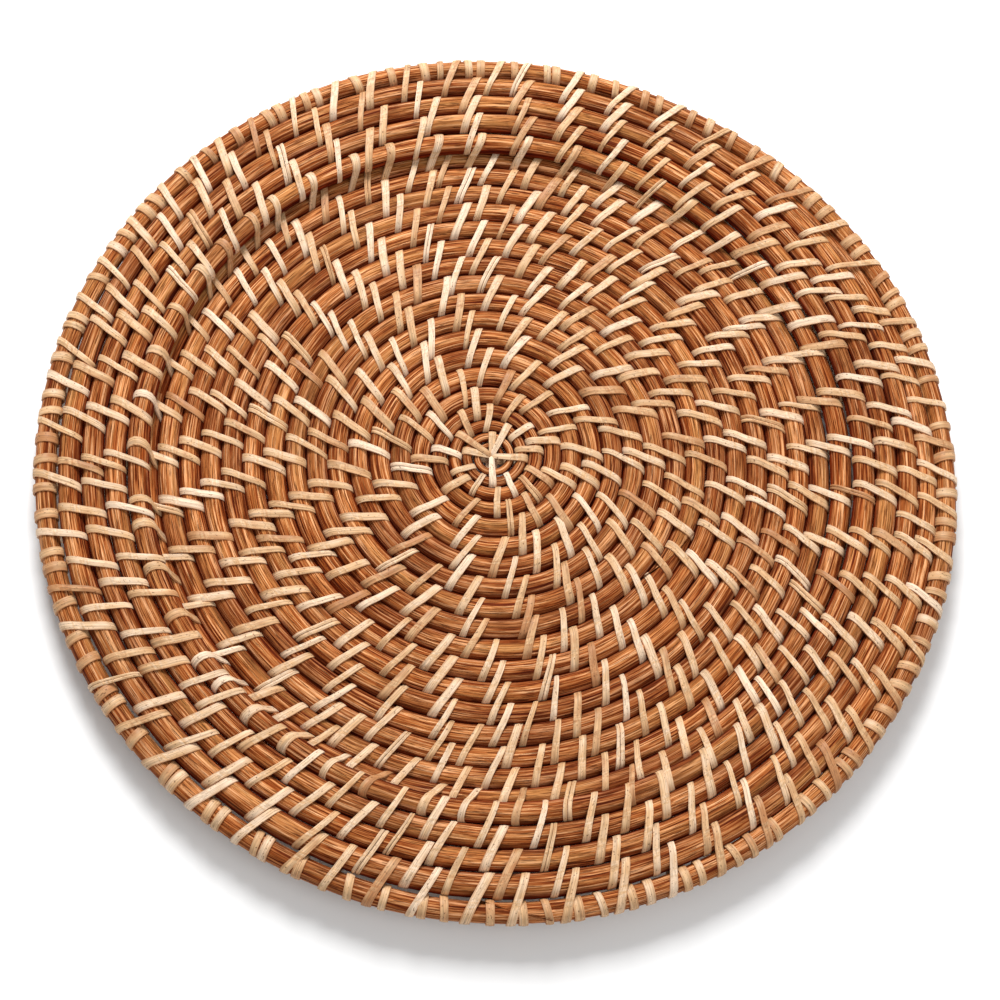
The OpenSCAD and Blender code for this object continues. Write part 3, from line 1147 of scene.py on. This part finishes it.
@dataclass
class Sewing:
    """All strips of the plate: the rows of stitches, the centre star and the wraps of the hoop."""

    plan: CoilPlan
    coil: DrawnCoil
    hoop: DrawnHoop
    maker: StripMaker
    finish: bpy.types.Material

    # Every strip. A play is how much a measure varies.
    snug: float = 0.04
    dip: float = 0.22
    width_play: float = 0.2
    tint_middle: float = 0.55
    tint_play: float = 0.2

    # The stitches. A few are split into strands, each (place, width) in shares of the strip's width.
    stitch_w: float = 2.7
    lean_play: float = math.radians(5)
    bow_play: float = 0.5
    taper_play: float = 0.3
    split_chance: float = 0.06
    strands: tuple = ((-0.26, 0.42), (0.25, 0.46))

    # The centre star.
    pinch_r: float = 0.9
    star_lift: float = 0.1
    star_w: float = 2.9
    star_tip_w: float = 1.8
    star_under_w: float = 4.4

    # The wraps of the hoop.
    wrap_w: float = 3.0
    wrap_play: float = 0.28
    wrap_slant: tuple[float, float] = (-0.12, 0.22)
    wrap_tone: float = 0.72

    draw: random.Random = field(default_factory=lambda: random.Random(SEED))
    laid: int = 0

    def tint(self) -> float:
        """Draws how pale a strip is."""
        return min(1.0, max(0.0, self.draw.gauss(self.tint_middle, self.tint_play)))

    def width(self, middle: float) -> float:
        """Draws how wide a strip is."""
        return middle * (1 + self.draw.uniform(-self.width_play, self.width_play))

    def loop(self, run: float, begin_r: float, end_r: float) -> tuple[np.ndarray, np.ndarray]:
        """Draws the section of a strip pulled round two canes.

        Args:
            run: Distance between the middles of the canes.
            begin_r: Radius of the inner cane.
            end_r: Radius of the outer cane.

        Returns:
            Points of the loop and outward directions, each (across, up), from the top's outer end.
        """
        # The two middles take one station each, and the rest is shared by the arcs at the ends.
        arc = (self.maker.stations - 2) // 2
        points, normals = [], []
        for angle in np.linspace(np.pi / 2, -np.pi / 2, arc):
            normals.append((math.cos(angle), math.sin(angle)))
            points.append((run / 2 + end_r * math.cos(angle), end_r * math.sin(angle)))
        points.append((0.0, -(begin_r + end_r) / 2 + self.dip))
        normals.append((0.0, -1.0))
        for angle in np.linspace(-np.pi / 2, -3 * np.pi / 2, arc):
            normals.append((math.cos(angle), math.sin(angle)))
            points.append((-run / 2 + begin_r * math.cos(angle), begin_r * math.sin(angle)))
        points.append((0.0, (begin_r + end_r) / 2 - self.dip))
        normals.append((0.0, 1.0))
        return np.array(points), np.array(normals)

    def pull(self, grip: Grip, lean: float, bow: float) -> tuple[np.ndarray, StripPath]:
        """Pulls a strip round two canes.

        Args:
            grip: The two canes.
            lean: Lean of the strip away from the direction outwards.
            bow: How far its middle stands off sideways.

        Returns:
            Places of the stations along the direction outwards and up, and the strip's path.
        """
        ahead = np.array([-grip.outward[1], grip.outward[0], 0.0])
        across = float((grip.end - grip.begin) @ grip.outward)
        climb = float(grip.end[2] - grip.begin[2])
        run = math.hypot(across, climb)
        flat, facing = self.loop(run, grip.begin_r + self.snug, grip.end_r + self.snug)
        reach = run / 2 + max(grip.begin_r, grip.end_r)
        drift = -flat[:, 0] * math.tan(lean) + bow * (1 - (flat[:, 0] / reach) ** 2)
        rise = np.array([across, climb]) / run
        level = grip.outward * rise[0] + UP * rise[1]
        upward = UP * rise[0] - grip.outward * rise[1]
        # Beside the stitch's middle the turns curve inwards, and the strip follows them.
        curve = drift**2 / (2 * float(np.hypot(*grip.begin[:2])) + reach)
        points = (grip.begin + grip.end) / 2 + flat[:, :1] * level + flat[:, 1:] * upward
        points = points + drift[:, None] * ahead - curve[:, None] * grip.outward
        normals = facing[:, :1] * level + facing[:, 1:] * upward
        sides = np.repeat(ahead[None] / math.cos(lean), len(flat), axis=0)
        widths = np.full(len(flat), self.width(self.stitch_w))
        return flat, StripPath(points, sides, normals, widths, self.tint())

    def stitch(self, turn: float) -> list[StripPath]:
        """Draws one stitch round the cane at a turn and the next cane outwards.

        Args:
            turn: Where on the coil the stitch starts.

        Returns:
            One path, or two where the strip has split along its length.
        """
        spot = np.array([turn])
        begin, begin_r = self.coil.point(spot)[0], float(self.coil.radius(spot)[0])
        outer, place = self.coil, spot + 1
        if self.plan.reaches_hoop(turn):
            outer, place = self.hoop, 2 * np.pi * spot
        end, end_r = outer.point(place)[0], float(outer.radius(place)[0])
        grip = Grip(begin, begin_r, end, end_r, self.coil.outward(spot)[0])
        lean = self.plan.lean(turn) + self.draw.uniform(-self.lean_play, self.lean_play)
        flat, path = self.pull(grip, lean, self.draw.uniform(-self.bow_play, self.bow_play))
        taper = self.draw.uniform(0, self.taper_play)
        path.widths = path.widths * (1 - taper * (1 - spread(flat[:, 0])))
        if self.draw.random() > self.split_chance:
            return [path]
        strands = []
        for offset, part in self.strands:
            points = path.points + path.sides * (offset * path.widths)[:, None]
            widths = part * path.widths
            strands.append(StripPath(points, path.sides, path.normals, widths, path.tint))
        return strands

    def sew_rows(self) -> None:
        """Lays every row of stitches."""
        for number in range(1, self.plan.rows + 1):
            paths = [path for turn in self.plan.row(number) for path in self.stitch(turn)]
            self.set_in(f"sewn_row_{number:02d}", paths, f"stitch_row_{number:02d}")

    def ray(self, turn: float, order: int) -> StripPath:
        """Draws one centre strip, out over the first turns and back beneath them.

        Args:
            turn: Turn of the outermost cane that it holds.
            order: Number of the strip, which lifts it over those before.

        Returns:
            The strip's path, pinched at the centre above and broad there beneath.
        """
        spot = np.array([turn])
        end, end_r = self.coil.point(spot)[0], float(self.coil.radius(spot)[0])
        outward = np.array([math.cos(2 * np.pi * turn), math.sin(2 * np.pi * turn), 0.0])
        begin_r = self.pinch_r + order * self.star_lift
        begin = outward * begin_r + UP * self.plan.base_z
        flat, path = self.pull(Grip(begin, begin_r, end, end_r, outward), 0.0, 0.0)
        share = spread(flat[:, 0])
        above = self.star_tip_w + (self.star_w - self.star_tip_w) * share
        below = self.star_under_w + (self.star_w - self.star_under_w) * share
        path.widths = np.where(flat[:, 1] > 0, above, below)
        return path

    def set_star(self) -> None:
        """Lays the strips of the centre star."""
        rays = [self.ray(turn + 1, order) for order, turn in enumerate(self.plan.star_turns)]
        self.set_in("star_strips", rays, "centre_stitches")

    def wrap(self, angle: float) -> StripPath:
        """Draws one wrap round the hoop.

        Args:
            angle: Where on the hoop it lies.

        Returns:
            The wrap's path.
        """
        spot = np.array([angle])
        middle, outward = self.hoop.point(spot)[0], self.hoop.outward(spot)[0]
        ahead = np.array([-outward[1], outward[0], 0.0])
        turn = np.linspace(0, 2 * np.pi, self.maker.stations, endpoint=False)
        normals = np.cos(turn)[:, None] * outward - np.sin(turn)[:, None] * UP
        slant = self.draw.uniform(*self.wrap_slant)
        reach = float(self.hoop.radius(spot)[0]) + self.snug
        points = middle + reach * normals + (slant * reach * np.cos(turn))[:, None] * ahead
        sides = np.repeat(ahead[None], len(turn), axis=0)
        widths = np.full(len(turn), self.width(self.wrap_w))
        return StripPath(points, sides, normals, widths, self.wrap_tone * self.tint())

    def wrap_angles(self) -> list[float]:
        """Spaces the wraps along the hoop between the stitches of the last row.

        Returns:
            The angle of each wrap.
        """
        plan = self.plan
        stitches = []
        for turn in plan.row(plan.rows):
            angle = 2 * math.pi * turn
            gap = plan.hoop_point(np.array(angle)) - plan.point(np.array(turn))
            shift = float(np.linalg.norm(gap)) / 2 * math.tan(plan.stitch_lean)
            stitches.append(angle - shift / float(plan.hoop_line_r(np.array(angle))))
        angles = []
        for start, end in zip(stitches, stitches[1:] + [stitches[0] + 2 * math.pi]):
            reach = float(plan.hoop_line_r(np.array((start + end) / 2)))
            count = round((end - start) * reach / plan.wrap_step)
            for i in range(1, count):
                place = i + self.draw.uniform(-self.wrap_play, self.wrap_play)
                angles.append(start + (end - start) * place / count)
        return angles

    def wrap_hoop(self) -> None:
        """Lays the wraps of the hoop."""
        self.set_in("hoop_wraps", [self.wrap(angle) for angle in self.wrap_angles()], "rim_wraps")

    def set_in(self, name: str, paths: list[StripPath], node: str) -> None:
        """Joins strips into one piece and sets it in place of its solids.

        Args:
            name: Name of the piece.
            paths: Where its strips go.
            node: The solids that it stands for.
        """
        piece = self.maker.gather(name, paths, self.laid)
        self.laid += len(paths)
        seat(piece, self.finish, Slot.STRIP, node)


@dataclass
class ChargerPlate:
    """The plate's canes, hoop and sewing."""

    plan: CoilPlan
    ring_step: float = 2.6
    tip_step: float = 0.9
    broader: float = 0.3
    # Painted shade on the hoop's sides, lighter than on the coil's canes.
    hoop_crevice_shade: Colour = (0.85, 0.78, 0.72)

    def build(self) -> None:
        """Builds and dresses every piece."""
        plan, step = self.plan, self.ring_step
        coil, hoop = DrawnCoil(plan), DrawnHoop(plan)
        square, slanted = CaneEnd.SQUARE, CaneEnd.SLANTED
        lengths = (
            ("centre_cane", "cane_centre", 0.0, plan.taper_turns, self.tip_step, (square, square)),
            ("inner_cane", "cane_inner", plan.taper_turns, plan.splice_turn, step, (square, slanted)),
            ("base_cane", "cane_base", plan.splice_turn, plan.climb_turn, step, (slanted, square)),
            ("rim_cane", "cane_rim", plan.climb_turn, plan.tail_turn, step, (square, square)),
            ("tail_cane", "cane_tail", plan.tail_turn, coil.long_end, step, (square, square)),
        )
        cane = CaneFinish("stained_cane").make()
        for order, (name, node, start, end, ring_step, cuts) in enumerate(lengths):
            line = coil.line(start, end, ring_step, cuts)
            CanePiece(name, node, line, plan, order, broader=self.broader).build(cane, Slot.CANE)
        hoop_cane = CaneFinish("stained_hoop_cane", crevice_shade=self.hoop_crevice_shade).make()
        edge = CanePiece("edge_hoop", "rim_hoop", hoop.line(), plan, len(lengths))
        edge.build(hoop_cane, Slot.HOOP)
        maker = StripMaker(plan)
        sewing = Sewing(plan, coil, hoop, maker, StripFinish("rattan_peel").make())
        sewing.sew_rows()
        sewing.set_star()
        sewing.wrap_hoop()
        maker.put_away()


@dataclass(frozen=True)
class SoftLight:
    """A square soft light: where it hangs and its width in metres, and its power in watts."""

    name: str
    place: tuple[float, float, float]
    size: float
    power: float


@dataclass
class Studio:
    """Floor, lights and the camera at the photograph's viewing angle."""

    target: Vector
    elevation: float = math.radians(68.3)
    roll: float = math.radians(10.4)
    distance: float = 0.7125
    lens: float = 71.3
    shift: tuple[float, float] = (0.0087, -0.0427)
    clip_start: float = 0.01
    floor_size: float = 6.0
    floor_colour: Colour = (0.9, 0.9, 0.9)
    floor_roughness: float = 0.9
    sky_colour: Colour = WHITE
    sky_strength: float = 0.42
    key: SoftLight = SoftLight("key", (-0.25, 0.75, 0.85), 0.45, 17.0)
    fill: SoftLight = SoftLight("fill", (0.55, -0.45, 0.9), 0.9, 3.5)

    def add_camera(self) -> None:
        """Adds the camera, turned about its own axis as in the photograph."""
        across = Vector((1, 0, 0))
        back = Vector((0, -math.cos(self.elevation), math.sin(self.elevation)))
        upright = back.cross(across)
        right = across * math.cos(self.roll) + upright * math.sin(self.roll)
        up = upright * math.cos(self.roll) - across * math.sin(self.roll)
        data = bpy.data.cameras.new("camera")
        data.lens = self.lens
        data.shift_x, data.shift_y = self.shift
        data.clip_start = self.clip_start
        camera = bpy.data.objects.new("camera", data)
        turned = Matrix((right, up, back)).transposed().to_4x4()
        camera.matrix_world = Matrix.Translation(self.target + back * self.distance) @ turned
        bpy.context.scene.collection.objects.link(camera)
        bpy.context.scene.camera = camera

    def add_light(self, light: SoftLight) -> None:
        """Adds a light that faces the plate.

        Args:
            light: The light's place, size and power.
        """
        data = bpy.data.lights.new(light.name, "AREA")
        data.size = light.size
        data.energy = light.power
        lamp = bpy.data.objects.new(light.name, data)
        lamp.location = light.place
        facing = self.target - Vector(light.place)
        lamp.rotation_euler = facing.to_track_quat("-Z", "Y").to_euler()
        bpy.context.scene.collection.objects.link(lamp)

    def add_floor(self) -> None:
        """Adds the plain floor."""
        bpy.ops.object.select_all(action="DESELECT")
        bpy.ops.mesh.primitive_plane_add(size=self.floor_size)
        floor = bpy.context.active_object
        floor.name = "floor"
        inputs = {"Base Color": (*self.floor_colour, 1.0), "Roughness": self.floor_roughness}
        floor.data.materials.append(NodeSheet("plain_floor").surface(inputs))

    def add_sky(self) -> None:
        """Adds the even light from all round."""
        world = bpy.data.worlds.new("studio")
        world.use_nodes = True
        background = world.node_tree.nodes["Background"]
        background.inputs["Color"].default_value = (*self.sky_colour, 1.0)
        background.inputs["Strength"].default_value = self.sky_strength
        bpy.context.scene.world = world

    def build(self) -> None:
        """Sets up the whole studio."""
        bpy.context.scene.view_settings.view_transform = "Standard"
        self.add_sky()
        self.add_floor()
        self.add_light(self.key)
        self.add_light(self.fill)
        self.add_camera()


def main() -> None:
    """Loads the frame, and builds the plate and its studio."""
    logging.basicConfig(level=logging.INFO, format="%(name)s: %(message)s")
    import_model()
    plan = CoilPlan()
    ChargerPlate(plan).build()
    axis = UP * plan.base_z - plan.plate_middle
    Studio(Vector([float(x) * MM for x in axis])).build()


if __name__ == "__main__":
    main()
